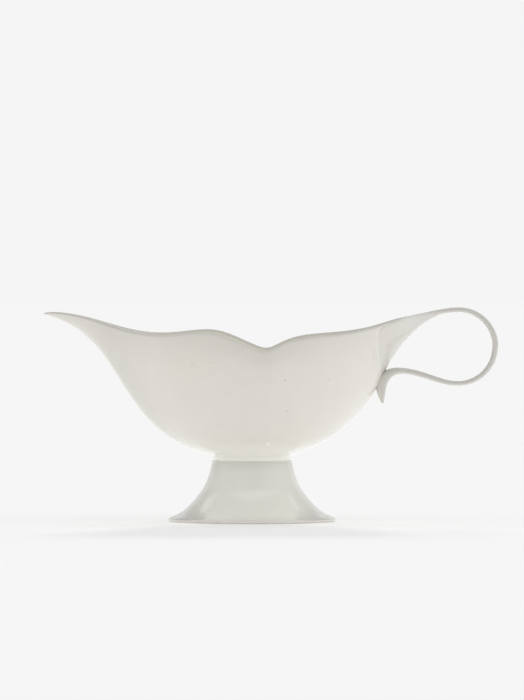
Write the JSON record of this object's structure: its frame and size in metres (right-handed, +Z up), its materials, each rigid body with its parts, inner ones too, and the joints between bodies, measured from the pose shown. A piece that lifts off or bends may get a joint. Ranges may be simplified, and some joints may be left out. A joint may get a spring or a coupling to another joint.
{
  "type": "footed gravy boat",
  "caption": "Boat-shaped sauce server on a flared pedestal foot, with a pulled pouring spout, a wavy rim and a looped strap handle.",
  "frame": {"origin": "centre of the foot's base, on the surface that the boat stands on", "axes": "+Z up, +X from the spout towards the handle, +Y across the bowl; the XZ plane is the plane of symmetry"},
  "size_m": [0.2407, 0.0888, 0.1133],
  "materials": {
    "glazed_bowl": "clear gloss glaze over warm white bone china",
    "glazed_foot": "clear gloss glaze over warm white bone china, unglazed on the foot rim",
    "glazed_handle": "clear gloss glaze over warm white bone china",
    "slip": "fired slip under the same clear glaze"
  },
  "bodies": {
    "root": {"bowl": "glazed_bowl", "foot": "glazed_foot", "handle": "glazed_handle", "foot_slip_joint": "slip", "handle_slip_joint": "slip"}
  },
  "joints": []
}
